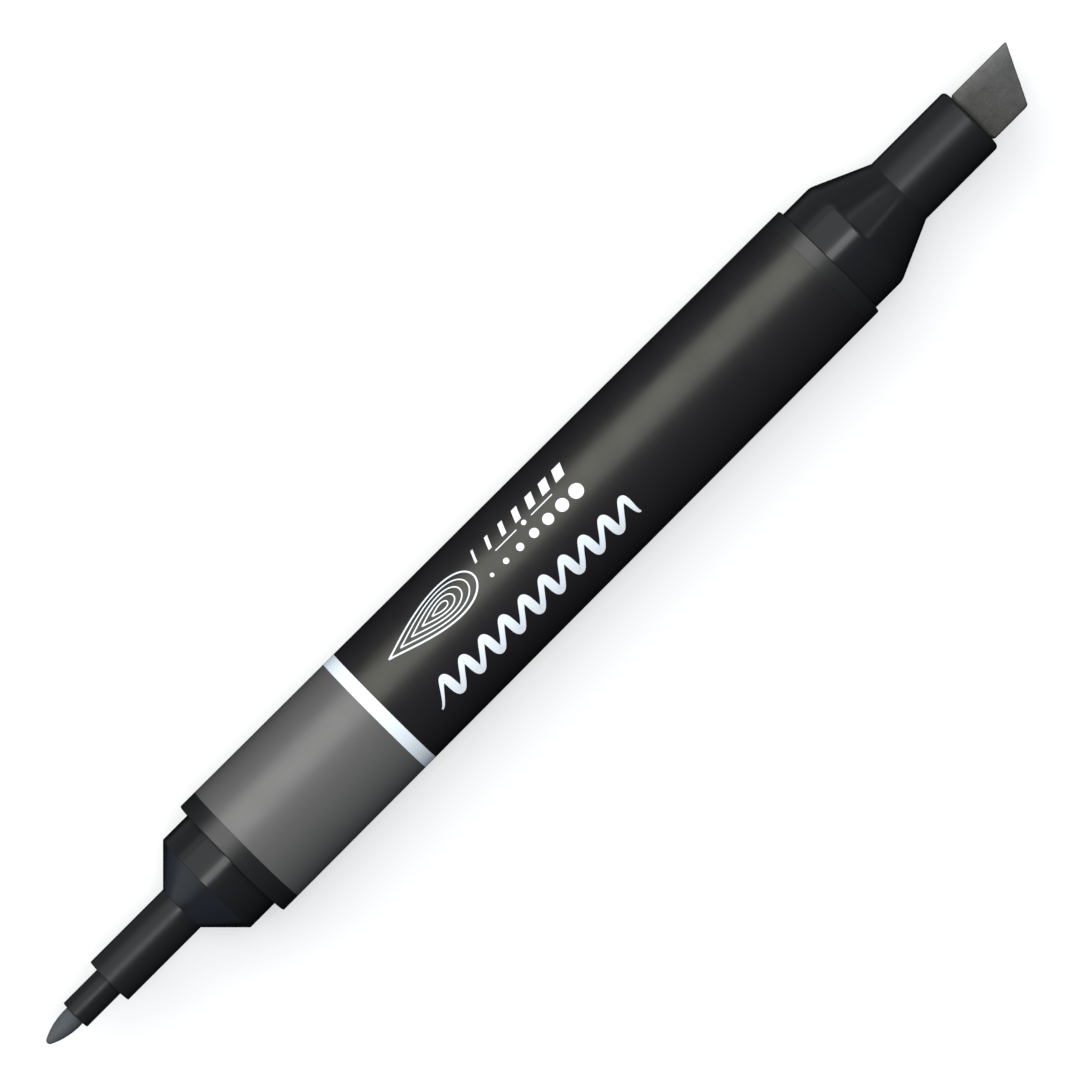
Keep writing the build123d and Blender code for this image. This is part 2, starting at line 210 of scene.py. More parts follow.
class Nodes:
    """Short calls for building a material's node tree round one Principled shader."""

    def __init__(self, name, **sockets):
        self.material = bpy.data.materials.new(name)
        self.material.use_nodes = True
        self.tree = self.material.node_tree
        self.shader = next(n for n in self.tree.nodes if n.type == "BSDF_PRINCIPLED")
        for socket, value in sockets.items():
            self.shader.inputs[socket.replace("_", " ")].default_value = value
        self.place = self.add("ShaderNodeTexCoord").outputs["Object"]
        self.height = None

    def feed(self, socket, value):
        """Links a value that another node gives to an input socket, or sets a plain value on it."""
        if isinstance(value, bpy.types.NodeSocket):
            self.tree.links.new(value, socket)
        else:
            socket.default_value = value

    def add(self, kind, **values):
        """A new node, with input sockets given by name and settings given in lower case."""
        node = self.tree.nodes.new(kind)
        for key, value in values.items():
            if key[0].islower():
                setattr(node, key, value)
            else:
                self.feed(node.inputs[key.replace("_", " ")], value)
        return node

    def maths(self, operation, *values):
        """The result of a Math node on one or two values."""
        node = self.add("ShaderNodeMath", operation=operation)
        for socket, value in zip(node.inputs, values):
            self.feed(socket, value)
        return node.outputs[0]

    def along(self, axis):
        """The place on the object along one axis, in metres."""
        return self.add("ShaderNodeSeparateXYZ", Vector=self.place).outputs[axis]

    def stretched(self, x, y, z):
        """The place on the object with each axis multiplied. A texture is drawn out along the smallest."""
        return self.add("ShaderNodeMapping", Vector=self.place, Scale=(x, y, z)).outputs["Vector"]

    def noise(self, scale, detail=4.0, roughness=0.5, vector=None):
        """Soft noise from 0 to 1, with scale in cells per metre."""
        place = vector or self.place
        node = self.add("ShaderNodeTexNoise", Vector=place, Scale=scale, Detail=detail, Roughness=roughness)
        return node.outputs["Fac"]

    def between(self, value, low, high, to_low=0.0, to_high=1.0):
        """value mapped from low..high to another range, and held inside it."""
        node = self.add("ShaderNodeMapRange", Value=value)
        sockets = ("From Min", "From Max", "To Min", "To Max")
        for socket, number in zip(sockets, (low, high, to_low, to_high)):
            node.inputs[socket].default_value = number
        return node.outputs["Result"]

    def mixed(self, share, a, b, how="MIX"):
        """Colour a where share is 0, and b where it is 1, or another blend of the two."""
        node = self.add("ShaderNodeMix", data_type="RGBA", blend_type=how, Factor=share)
        for socket, colour in zip(node.inputs[6:8], (a, b)):
            self.feed(socket, (*colour, 1) if isinstance(colour, tuple) else colour)
        return node.outputs[2]

    def drive(self, socket, value):
        """Links a value to one of the shader's sockets."""
        self.feed(self.shader.inputs[socket], value)

    def bump(self, height, distance, strength=1.0):
        """Raises the surface by height, on top of any bump before it."""
        node = self.add("ShaderNodeBump", Height=height, Distance=distance, Strength=strength)
        if self.height is not None:
            self.feed(node.inputs["Normal"], self.height)
        self.height = node.outputs["Normal"]
        self.drive("Normal", self.height)


def grey(level, red=0.0, blue=0.0):
    """A neutral colour, with a little more or less red and blue."""
    return (level * (1 + red), level, level * (1 + blue))


SATIN_REACH = (52.5 * MM, 54.5 * MM)  # how far along the pen its slim tubes start to be more satin


def plastic(name, colour, roughness, specular, grain=0.0, shine=WHITE, satin=0.0):
    """Moulded or printed plastic: a faint waviness, fine scratches along the pen and, if asked, a
    spark-eroded grain. Colour and roughness vary a little with handling. shine tints what it reflects, and
    satin is the roughness of the slim tubes at both ends, if it isn't the same there."""
    look = Nodes(name, Specular_IOR_Level=specular, Specular_Tint=(*shine, 1))
    smears = look.noise(260, detail=5, roughness=0.6)
    handled = look.between(smears, 0.3, 0.7, roughness * 0.88, roughness * 1.14)
    if satin:
        from_middle = look.maths("ABSOLUTE", look.along("X"))
        more = look.between(from_middle, *SATIN_REACH, 0.0, satin - roughness)
        handled = look.maths("ADD", handled, more)
    look.drive("Roughness", handled)
    clouded = look.noise(90, detail=3)
    worn = tuple(level * 1.05 for level in colour)
    look.drive("Base Color", look.mixed(look.between(clouded, 0.35, 0.65), colour, worn))
    look.bump(look.noise(420, detail=2), 0.0024 * MM)
    hairlines = look.noise(1.0, detail=3, roughness=0.7, vector=look.stretched(160, 9000, 9000))
    look.bump(look.between(hairlines, 0.62, 0.8), 0.0004 * MM)
    if grain:
        look.bump(look.noise(9000, detail=2), 0.0016 * MM * grain)
    return look.material


def fibrous(name, dark, light, stain):
    """Pressed polyester fibre, drawn out along the pen, with clumps of darker ink. Returns the node tree
    and its colour, which isn't linked yet."""
    look = Nodes(name, Roughness=0.92, Specular_IOR_Level=0.18)
    fibres = look.noise(1.0, detail=6, roughness=0.65, vector=look.stretched(3200, 6200, 6200))
    clumps = look.noise(900, detail=4, roughness=0.6)
    shade = look.mixed(look.between(fibres, 0.32, 0.68), dark, light)
    colour = look.mixed(look.between(clumps, 0.48, 0.8), shade, stain)
    look.bump(fibres, 0.05 * MM, 0.7)
    look.bump(look.noise(16000, detail=3), 0.012 * MM, 0.5)
    return look, colour


def nib_felt(name, dark, light, stain, node, wet_reach, wet_tint, painted_highlight_edge):
    """Felt that is wetter, and so darker, near the nozzle, which is wet_reach behind its writing tip. That
    is negative for a nib that points towards -X. The felt is also painted paler along its +Y edge, a
    painted highlight on the side the soft box lights, by the factor given for that edge, and painted
    darker towards its -Y edge, a painted shade."""
    look, colour = fibrous(name, dark, light, stain)
    front = high_x(node) if wet_reach > 0 else low_x(node)
    wet = look.between(look.along("X"), front - wet_reach, front - 0.35 * wet_reach, 1.0, 0.0)
    colour = look.mixed(wet, colour, wet_tint, how="MULTIPLY")
    edge = PLACES[node][1].y
    # painted highlight along the +Y edge, where the light falls, and painted shade towards the -Y edge
    paler = look.between(look.along("Y"), 0.42 * edge, edge, 1.0, painted_highlight_edge)
    darker = look.between(look.along("Y"), -0.85 * edge, 0.0, 0.86, 1.0)
    both = look.maths("MULTIPLY", paler, darker)
    lift = look.add("ShaderNodeCombineColor", Red=both, Green=both, Blue=both).outputs["Color"]
    look.drive("Base Color", look.mixed(1.0, colour, lift, how="MULTIPLY"))
    return look.material


BARREL_PLASTIC = plastic(
    "barrel_plastic",
    (0.0136, 0.0148, 0.0158),
    roughness=0.37,
    specular=0.62,
    grain=0.6,
    shine=(1.0, 1.0, 0.97),
)
NOZZLE_PLASTIC = plastic(
    "nozzle_plastic", (0.0074, 0.0079, 0.0089), roughness=0.18, specular=0.143, satin=0.36
)
SLEEVE_PLASTIC = plastic("sleeve_plastic", (0.0074, 0.0080, 0.0090), roughness=0.35, specular=0.118)
BLACK_FILM = plastic(
    "label_black",
    (0.0136, 0.0128, 0.0150),
    roughness=0.37,
    specular=0.55,
    grain=0.4,
    shine=(1.0, 1.0, 0.86),
)
GREY_FILM = plastic(
    "label_grey", grey(0.100, red=0.01, blue=-0.02), roughness=0.37, specular=0.6, grain=0.4
)
WHITE_FILM = plastic("label_white", (0.78, 0.84, 0.90), roughness=0.4, specular=0.5, grain=0.4)
WHITE_INK = plastic("print_white", (0.80, 0.85, 0.90), roughness=0.45, specular=0.4)
CLEAR_FILM = plastic("reservoir_film", grey(0.7, blue=0.03), roughness=0.2, specular=0.5)
CHISEL_FELT = nib_felt(
    "chisel_felt",
    dark=grey(0.066),
    light=grey(0.092, blue=-0.02),
    stain=grey(0.058, blue=-0.05),
    node="chisel_nib",
    wet_reach=8.2 * MM,
    wet_tint=(0.74, 0.74, 0.68),
    # painted highlight: the felt's +Y edge is painted paler, as if lit
    painted_highlight_edge=1.72,
)
FINE_FELT = nib_felt(
    "fine_felt",
    dark=(0.077, 0.083, 0.089),
    light=(0.101, 0.109, 0.117),
    stain=(0.074, 0.079, 0.084),
    node="fine_nib",
    wet_reach=-4.4 * MM,
    wet_tint=(0.8, 0.82, 0.84),
    # painted highlight: the felt's +Y edge is painted a little paler, as if lit
    painted_highlight_edge=1.1,
)


# ---------------------------------------------------------------- the barrel and its label film

FILM = 0.08 * MM
BORE = 6.3 * MM
LEAD_IN = 0.4 * MM
PLUG_LENGTH = 5.2 * MM


def make_barrel():
    """A tapered tube with rounded rims, a shallow recess for the label, and ribs along its bore."""
    start, end = BARREL_ENDS
    recess_start, recess_end = LABEL_ENDS
    corners = [
        (start, BORE + LEAD_IN, 0.05 * MM),
        (start, barrel_radius(start), 0.15 * MM),
        (recess_start, barrel_radius(recess_start), 0.02 * MM),
        (recess_start, barrel_radius(recess_start) - FILM, 0.0),
        (recess_end, barrel_radius(recess_end) - FILM, 0.0),
        (recess_end, barrel_radius(recess_end), 0.02 * MM),
        (end, barrel_radius(end), 0.15 * MM),
        (end, BORE + LEAD_IN, 0.05 * MM),
        (end - LEAD_IN, BORE, 0.0),
    ]
    rib_height, half_width = 0.57 * MM, 0.45 * MM / BORE
    rib_inset = PLUG_LENGTH + 0.8 * MM

    def ribbed(angle):
        """The bore's radius where the ribs run."""
        return BORE - rib_height if near_one_of(angle, 6, half_width) else BORE

    rings = [ring(x, r) for x, r in rounded(corners)]
    for x, radius in ((end - rib_inset, BORE), (end - rib_inset, ribbed), (start + rib_inset, ribbed),
                      (start + rib_inset, BORE), (start + LEAD_IN, BORE)):
        rings.append(ring(x, radius))
    bm = bmesh.new()
    join_rings(bm, rings, closed_along=True)
    bmesh.ops.remove_doubles(bm, verts=bm.verts, dist=0.0001 * MM)
    piece = finish_mesh(bm, "barrel_shell", BARREL_PLASTIC)
    BODY_PIECES.objects.link(piece)
    stand_for(piece, "barrel", "marker")


def make_film(node, name, material):
    """One printed zone of the label, wrapped round the barrel with its two edges just apart underneath."""
    start, end = low_x(node), high_x(node)
    edge = 0.015 * MM
    outline = rounded(
        [
            (start, barrel_radius(start) - FILM, 0.0),
            (start, barrel_radius(start), edge),
            (end, barrel_radius(end), edge),
            (end, barrel_radius(end) - FILM, 0.0),
        ],
        steps=3,
    )
    half_gap = 0.2 * MM / barrel_radius(start)
    first, last = half_gap - math.pi / 2, 1.5 * math.pi - half_gap
    columns = []
    for i in range(SEGMENTS + 1):
        angle = first + (last - first) * i / SEGMENTS
        columns.append([around(x, r, angle) for x, r in outline])
    bm = bmesh.new()
    rows = join_rings(bm, columns)
    bm.faces.new(rows[0])
    bm.faces.new(rows[-1])
    piece = finish_mesh(bm, name, material)
    BODY_PIECES.objects.link(piece)
    stand_for(piece, node, "marker")


# ---------------------------------------------------------------- the marks printed on the label

INK_RISE = 0.012 * MM  # how far the ink stands above the film
INK_SINK = 0.004 * MM


def on_label(x, arc, rise):
    """A place on the label: x along the pen, and arc round it from its top towards +Y."""
    radius = barrel_radius(x)
    return around(x, radius + rise, math.pi / 2 - arc / radius)


def print_patch(bm, rows, loop=False):
    """A thin closed patch of ink over rows of (x, arc) places. A loop joins its last row to its first."""
    layers = []
    for rise in (INK_RISE, -INK_SINK):
        layers.append([[bm.verts.new(on_label(x, arc, rise)) for x, arc in row] for row in rows])
    top, bottom = layers
    pairs = list(zip(range(len(rows)), range(1, len(rows))))
    if loop:
        pairs.append((len(rows) - 1, 0))
    columns = range(len(rows[0]) - 1)
    for a, b in pairs:
        for layer in layers:
            for i in columns:
                bm.faces.new((layer[a][i], layer[a][i + 1], layer[b][i + 1], layer[b][i]))
        for i in (0, -1):
            bm.faces.new((top[a][i], top[b][i], bottom[b][i], bottom[a][i]))
    if not loop:
        for row in (0, -1):
            for i in columns:
                bm.faces.new((top[row][i], top[row][i + 1], bottom[row][i + 1], bottom[row][i]))


def stroke(path, width, loop=False, across=4):
    """Rows of places across a pen stroke that follows a path of (x, arc) points. Its width is a function of
    the share of the way along."""
    count = len(path)
    rows = []
    for i, point in enumerate(path):
        before = path[i - 1] if loop or i else point
        after = path[(i + 1) % count] if loop or i < count - 1 else point
        along = (Vector(after) - Vector(before)).normalized()
        side = Vector((-along.y, along.x)) * width(i / (count - 1))
        rows.append([Vector(point) + side * (j / across - 0.5) for j in range(across + 1)])
    return rows


def print_dot(bm, x, arc, radius):
    """A round dot of ink."""
    blunt = 0.004  # how much of the half turn is left off at each end

    def turn(share):
        """How far round the dot that share of the way along it is."""
        return math.pi * (blunt + (1 - 2 * blunt) * share)

    path = [(x - radius * math.cos(turn(i / 20)), arc) for i in range(21)]
    print_patch(bm, stroke(path, lambda share: 2 * radius * math.sin(turn(share))))


def print_bar(bm, x, low, high, width, lean=0.34):
    """A slanted bar of ink, like a short chisel stroke."""
    rows = []
    for i in range(9):
        rise = (high - low) * i / 8
        rows.append([(x + lean * rise + width * (j / 4 - 0.5), low + rise) for j in range(5)])
    print_patch(bm, rows)


def print_drop(bm, tip, length, height, width):
    """The outline of an ink drop that lies along the pen, with its point at tip."""
    count = 120
    path = []
    for i in range(count):
        turn = math.tau * (i + 0.5) / count
        reach = (1 - math.cos(turn)) / 2
        swell = 1.24 * math.sin(turn) * math.sin(turn / 2) ** 1.3
        path.append((tip[0] + length * reach, tip[1] + height / 2 * swell))
    print_patch(bm, stroke(path, lambda share: width, loop=True, across=2), loop=True)


def print_wave(bm, start, length, middle, height, turns):
    """A row of slanted loops drawn in one stroke, broad going down and fine going up, with tapered ends."""
    path = []
    count = turns * 44
    for i in range(count + 1):
        share = i / count
        turn = math.tau * turns * share
        swing = -math.cos(turn) * height / 2
        path.append((start + length * share + 0.32 * swing, middle + swing))

    def width(share):
        """The stroke's width."""
        turn = math.tau * turns * share
        taper = min(1.0, 14 * share + 0.25, 14 * (1 - share) + 0.25)
        return (0.82 - 0.2 * math.sin(turn)) * MM * taper

    print_patch(bm, stroke(path, width))


def make_print():
    """The white marks: an ink drop drawn in fine lines, a scale of bars and one of dots with a thin broken
    rule between them, and a long wave like a marker's stroke."""
    bm = bmesh.new()
    drop_tip, drop_length, drop_height = (-18.9 * MM, 3.2 * MM), 12.6 * MM, 4.9 * MM
    for scale, width in ((1.0, 0.2), (0.78, 0.15), (0.57, 0.15), (0.37, 0.15), (0.18, 0.14)):
        tip = (drop_tip[0] + drop_length * (1 - scale) * 0.62, drop_tip[1])
        print_drop(bm, tip, drop_length * scale, drop_height * scale, width * MM)
    first, last = -4.9 * MM, 7.6 * MM
    bars = 7
    for i in range(bars):
        x = first + (last - first) * i / (bars - 1)
        print_bar(bm, x - 0.27 * MM, 4.0 * MM, 5.6 * MM, (0.3 + 0.16 * i) * MM)
        print_dot(bm, x, 1.75 * MM, (0.24 + 0.1 * i) * MM)
    centre = (first + last) / 2
    rule = 3.4 * MM
    for side in (-1, 1):
        ends = [centre + side * reach * MM for reach in (1.1, 4.2)]
        path = [(ends[0] + (ends[1] - ends[0]) * i / 8, rule) for i in range(9)]
        print_patch(bm, stroke(path, lambda share: 0.13 * MM, across=2))
    print_dot(bm, centre, rule, 0.3 * MM)
    print_wave(bm, start=-18.2 * MM, length=29.6 * MM, middle=-3.6 * MM, height=2.6 * MM, turns=10)
    piece = finish_mesh(bm, "label_print", WHITE_INK)
    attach(piece, "marker")


# ---------------------------------------------------------------- the nozzles and the sleeve

PLUG_BORE = 5.2 * MM
LEDGE = -53.0 * MM  # where the sleeve's flange meets the fine nozzle


def plug(end_face, inward):
    """Corners of a nozzle's plug inside the barrel, from its inner rim to the barrel's end face, with the
    two beads that grip the bore."""
    radius, bead, half_bead = 6.24 * MM, 6.295 * MM, inward * 0.3 * MM
    tip = end_face + inward * PLUG_LENGTH
    corners = [
        (tip, PLUG_BORE, 0.1 * MM),
        (tip, radius - LEAD_IN, 0.06 * MM),
        (tip - inward * LEAD_IN, radius, 0.06 * MM),
    ]
    for share in (0.65, 0.25):
        middle = end_face + inward * PLUG_LENGTH * share
        corners.append((middle + half_bead, radius, 0.0))
        corners.append((middle, bead, 0.3 * MM))
        corners.append((middle - half_bead, radius, 0.0))
    return corners + [(end_face, radius, 0.0)]


def make_fine_nozzle():
    """Plug, cap seat, a 45 degree cone and the slim tube that holds the nib sleeve."""
    face = BARREL_ENDS[0]
    seat, tube, bore, pocket = 6.565 * MM, 2.835 * MM, 1.785 * MM, 2.26 * MM
    seat_end, front = -49.4 * MM, low_x("fine_nozzle")
    hollow = 1.556 * MM
    corners = plug(face, 1) + [
        (face, seat, 0.0),
        (seat_end, seat, 0.12 * MM),
        (seat_end - (seat - tube), tube, 0.15 * MM),
        (front, tube, 0.1 * MM),
        (front, bore, 0.04 * MM),
        (LEDGE, bore, 0.0),
        (LEDGE, pocket, 0.0),
        (seat_end - (seat - pocket) + hollow, pocket, 0.1 * MM),
        (seat_end - (seat - PLUG_BORE) + hollow, PLUG_BORE, 0.3 * MM),
    ]
    piece = lathe("fine_nozzle_shell", corners, NOZZLE_PLASTIC)
    stand_for(piece, "fine_nozzle", "marker")
    GLOSSY_PIECES.objects.link(piece)


def make_sleeve():
    """The thin sleeve that the fine nib slides in, with a flange at its tail and vent grooves inside."""
    front, tail = low_x("fine_nib_sleeve"), high_x("fine_nib_sleeve")
    outer, bore, flange = 1.775 * MM, 1.2 * MM, 2.25 * MM
    groove, half_width = 0.22 * MM, 0.25 * MM / (1.2 * MM)
    groove_start = front + 2.0 * MM

    def grooved(angle):
        """The bore's radius where the grooves run."""
        return bore + groove if near_one_of(angle, 3, half_width) else bore

    outline = rounded([
        (front, bore, 0.12 * MM),
        (front, outer, 0.12 * MM),
        (LEDGE, outer, 0.05 * MM),
        (LEDGE, flange, 0.05 * MM),
        (tail, flange, 0.1 * MM),
        (tail, bore + groove, 0.0),
    ])
    rings = [ring(x, r) for x, r in outline]
    rings += [ring(tail, grooved), ring(groove_start, grooved), ring(groove_start, bore)]
    bm = bmesh.new()
    join_rings(bm, rings, closed_along=True)
    bmesh.ops.remove_doubles(bm, verts=bm.verts, dist=0.0001 * MM)
    piece = finish_mesh(bm, "fine_nib_sleeve_tube", SLEEVE_PLASTIC)
    stand_for(piece, "fine_nib_sleeve", "marker")
    GLOSSY_PIECES.objects.link(piece)


def add_block(bm, low, high):
    """A plain block between two corners."""
    size = Vector(high) - Vector(low)
    made = bmesh.ops.create_cube(bm, size=1.0)["verts"]
    bmesh.ops.scale(bm, vec=size, verts=made)
    bmesh.ops.translate(bm, vec=(Vector(low) + Vector(high)) / 2, verts=made)


def make_chisel_nozzle():
    """Plug, cap seat, long cone and wide tube. Its front wall has the oblong mouth, and behind that four
    ribs hold the nib's neck."""
    face, front = BARREL_ENDS[1], high_x("chisel_nozzle")
    seat, tube, bore = 6.97 * MM, 4.115 * MM, 3.25 * MM
    seat_end, cone_end, wall, lip = 47.8 * MM, 54.2 * MM, 1.2 * MM, 0.08 * MM
    hollow_start, hollow_end = 49.1 * MM, 51.8 * MM
    width, height, corner = 6.1 * MM, 3.45 * MM, 0.85 * MM
    outer = rounded(
        plug(face, -1)
        + [
            (face, seat, 0.0),
            (seat_end, seat, 2.1 * MM),
            (cone_end, tube, 0.25 * MM),
            (front, tube, 0.45 * MM),
            (front, tube - 0.6 * MM, 0.0),
        ],
        steps=10,
    )
    rings = [ring(x, r) for x, r in outer]
    mouth = ((0.0, 2 * lip), (0.15 * lip, lip), (0.5 * lip, 0.35 * lip), (lip, 0.0), (wall, 0.0))
    for depth, growth in mouth:
        rings.append(oblong_ring(front - depth, width + growth, height + growth, corner + growth / 2))
    for x, radius in ((front - wall, bore), (hollow_end, bore), (hollow_start, PLUG_BORE)):
        rings.append(ring(x, radius))
    bm = bmesh.new()
    join_rings(bm, rings, closed_along=True)
    for y in (-1.6 * MM, 1.6 * MM):
        for side in (-1, 1):
            edges = sorted(AXIS_Z + side * reach for reach in (height / 2, 3.1 * MM))
            low = (hollow_end + 0.5 * MM, y - 0.3 * MM, edges[0])
            high = (front - 0.6 * wall, y + 0.3 * MM, edges[1])
            add_block(bm, low, high)
    piece = finish_mesh(bm, "chisel_nozzle_shell", NOZZLE_PLASTIC)
    stand_for(piece, "chisel_nozzle", "marker")
    GLOSSY_PIECES.objects.link(piece)


# ---------------------------------------------------------------- the nibs


def roughen(bm, amount, cells, drawn_out=2.2):
    """Moves each point along its normal by noise drawn out along the pen, like packed fibre."""
    bm.normal_update()
    for v in bm.verts:
        place = Vector((v.co.x / drawn_out, v.co.y, v.co.z)) * cells
        v.co += v.normal * amount * noise.fractal(place, 1.0, 2.0, 4)


def make_fine_nib():
    """A round felt rod with an ogive point and a tapered tail."""
    tip, tail = low_x("fine_nib"), high_x("fine_nib")
    radius, ogive_length, arc, nose = 1.18 * MM, 3.7 * MM, 7.8 * MM, 0.406 * MM
    nose_end = nose * (1 - (ogive_length - nose) / (arc - nose))

    def outline(distance):
        """The radius at that distance behind the tip."""
        if distance < nose_end:
            return math.sqrt(nose**2 - (nose - distance) ** 2)
        if distance < ogive_length:
            return radius - arc + math.sqrt(arc**2 - (ogive_length - distance) ** 2)
        return radius

    distances = [ogive_length * (i / 60) ** 1.7 for i in range(1, 61)]
    distances += [ogive_length + 0.15 * MM * i for i in range(1, 60)]
    rings = [ring(tip + d, outline(d)) for d in distances]
    long_step = (tail - 1.6 * MM - tip - distances[-1]) / 70
    rings += [ring(tip + distances[-1] + long_step * i, radius) for i in range(1, 71)]
    rings += [ring(tail - 0.1 * MM, 0.4 * radius), ring(tail, radius / 3)]
    bm = bmesh.new()
    rows = join_rings(bm, rings)
    close_end(bm, rows[0], tip)
    close_end(bm, rows[-1], tail)
    roughen(bm, 0.012 * MM, 4200)
    roughen(bm, 0.004 * MM, 15000)
    piece = finish_mesh(bm, "fine_nib_felt", FINE_FELT, sharp_degrees=80)
    stand_for(piece, "fine_nib", "fine_nib")


def chisel_edge(short_side, tip, width):
    """A function that gives where the head's slant-cut end lies at each y, with its corners rounded."""
    heel_round, tip_round = 0.4 * MM, 0.12 * MM
    tip_angle = math.atan2(width, tip - short_side)
    sharp_tip = tip + tip_round * (1 / math.tan(tip_angle / 2) - 1)
    lean = (sharp_tip - short_side) / width
    slope = math.hypot(1, lean)
    tip_reach = tip_round / math.tan(math.atan2(1, lean) / 2)
    heel_reach = heel_round * math.tan(math.atan2(1, lean) / 2)

    def edge(y):
        """The end's x at this y."""
        from_heel, from_tip = y + width / 2, width / 2 - y
        if from_heel < heel_reach / slope:
            rise = math.sqrt(max(0.0, heel_round**2 - (heel_round - from_heel) ** 2))
            return short_side - heel_reach + rise
        if from_tip < tip_reach / slope:
            rise = math.sqrt(max(0.0, tip_round**2 - (tip_round - from_tip) ** 2))
            return sharp_tip - tip_reach + rise
        return short_side + from_heel * lean

    return edge


def make_chisel_nib():
    """A slant-cut felt head with softened edges, a neck and a slimmer tail."""
    tail, tip = low_x("chisel_nib"), high_x("chisel_nib")
    low, high = PLACES["chisel_nib"]
    width, height = high.y - low.y, high.z - low.z
    head_start, neck_start, grow = 65.15 * MM, 51.0 * MM, 0.35 * MM
    neck, tail_size = (5.9 * MM, 3.3 * MM, 0.75 * MM), (4.4 * MM, 2.8 * MM, 0.75 * MM)
    corner, edge = 0.3 * MM, 0.2 * MM
    end = chisel_edge(70.22 * MM, tip, width)

    def across(x, size_a, size_b, share):
        """A ring whose size is that share of the way from one rounded rectangle to another."""
        return oblong_ring(x, *(a + (b - a) * share for a, b in zip(size_a, size_b)))

    tail_end = tuple(0.55 * size for size in tail_size)
    rings = [across(tail + 2.5 * MM * i / 6, tail_end, tail_size, i / 6) for i in range(7)]
    rings += [across(tail + 2.5 * MM + 0.5 * MM * i, tail_size, tail_size, 0) for i in range(1, 39)]
    neck_length = head_start - neck_start
    rings += [across(neck_start + neck_length * i / 36, neck, neck, 0) for i in range(37)]
    head = (width, height, corner)
    for share in [i / 5 for i in range(1, 6)]:
        rings.append(across(head_start + grow * share, neck, head, math.sin(math.pi / 2 * share)))
    body_start = head_start + grow
    section = oblong_ring(0, *head)
    steps = 90
    for i in range(1, steps + 1):
        reach = [(end(p.y) - edge - body_start) * i / steps for p in section]
        rings.append([Vector((body_start + r, p.y, p.z)) for r, p in zip(reach, section)])
    for i in range(1, 7):
        turn = math.pi / 2 * i / 6
        inset = 2 * edge * (1 - math.cos(turn))
        points = oblong_ring(0, width - 0.4 * inset, height - inset, corner)
        rings.append([Vector((end(p.y) - edge * (1 - math.sin(turn)), p.y, p.z)) for p in points])
    last = rings[-1]
    for share in [1 - i / 24 for i in range(1, 24)]:
        flat = [(p.y * share, AXIS_Z + (p.z - AXIS_Z) * share) for p in last]
        rings.append([Vector((end(y), y, z)) for y, z in flat])
    bm = bmesh.new()
    rows = join_rings(bm, rings)
    close_end(bm, rows[0], tail)
    close_end(bm, rows[-1], end(0))
    roughen(bm, 0.018 * MM, 2600)
    roughen(bm, 0.005 * MM, 9000)
    piece = finish_mesh(bm, "chisel_nib_felt", CHISEL_FELT, sharp_degrees=80)
    stand_for(piece, "chisel_nib", "chisel_nib")


# ---------------------------------------------------------------- what is inside

RESERVOIR_RADIUS = 5.6 * MM


def make_reservoir():
    """A bundle of fibre with a blind hole at each end, which each nib's tail is pushed into."""
    start, end = low_x("ink_reservoir"), high_x("ink_reservoir")
    fine_hole, chisel_hole = 1.23 * MM, (4.5 * MM, 2.9 * MM, 0.75 * MM)
    past_tail, lead_in, soft_edge = 0.3 * MM, 0.1 * MM, 0.15 * MM
    fine_hole_end = high_x("fine_nib") + past_tail
    chisel_hole_end = low_x("chisel_nib") - past_tail
    steps = 90
    outline = [
        (fine_hole_end, fine_hole),
        (start + lead_in, fine_hole),
        (start, fine_hole + lead_in),
        (start, 0.5 * RESERVOIR_RADIUS),
        (start, RESERVOIR_RADIUS - soft_edge),
        (start + soft_edge, RESERVOIR_RADIUS),
    ]
    outline += [(start + (end - start) * i / steps, RESERVOIR_RADIUS) for i in range(1, steps)]
    outline += [
        (end - soft_edge, RESERVOIR_RADIUS),
        (end, RESERVOIR_RADIUS - soft_edge),
        (end, 0.65 * RESERVOIR_RADIUS),
    ]
    rings = [ring(x, r) for x, r in outline]
    rings += [oblong_ring(x, *chisel_hole) for x in (end, chisel_hole_end)]
    bm = bmesh.new()
    rows = join_rings(bm, rings)
    close_end(bm, rows[0], fine_hole_end)
    close_end(bm, rows[-1], chisel_hole_end)
    look, colour = fibrous("reservoir_fibre", grey(0.16), grey(0.26), grey(0.14))
    look.drive("Base Color", colour)
    piece = finish_mesh(bm, "reservoir_fibre_rod", look.material)
    stand_for(piece, "ink_reservoir", "marker")


def make_wrap():
    """The thin film rolled round the reservoir. Its outer edge laps over its inner one between two ribs."""
    start, end = low_x("reservoir_wrap"), high_x("reservoir_wrap")
    film, lap = 0.06 * MM, 0.2
    first = math.pi / 6 - lap / 2
    columns = []
    for i in range(SEGMENTS + 1):
        share = i / SEGMENTS
        lift = film * max(0.0, min(1.0, (share - 0.94) / 0.04))
        inner = RESERVOIR_RADIUS + 0.01 * MM + lift
        angle = first + (math.tau + lap) * share
        places = ((start, inner), (start, inner + film), (end, inner + film), (end, inner))
        columns.append([around(x, r, angle) for x, r in places])
    bm = bmesh.new()
    rows = join_rings(bm, columns)
    bm.faces.new(rows[0])
    bm.faces.new(rows[-1])
    piece = finish_mesh(bm, "reservoir_wrap_film", CLEAR_FILM)
    stand_for(piece, "reservoir_wrap", "marker")


# ---------------------------------------------------------------- the camera, the lights and the floor

VIEW_WIDTH = 114.35 * MM  # what the camera sees across at the height of the pen's axis
VIEW_DISTANCE = 1150 * MM
VIEW_CENTRE = (1.255 * MM, 0.77 * MM)
CARD_DISTANCE = 2.0


def make_camera():
    """Straight above the pen, turned so that the pen runs from lower left to upper right."""
    data = bpy.data.cameras.new("camera")
    data.lens = data.sensor_width * VIEW_DISTANCE / VIEW_WIDTH
    data.clip_end = 20
    camera = bpy.data.objects.new("camera", data)
    camera.location = (*VIEW_CENTRE, AXIS_Z + VIEW_DISTANCE)
    camera.rotation_euler = (0, 0, math.radians(-45))
    bpy.context.scene.collection.objects.link(camera)
    bpy.context.scene.camera = camera


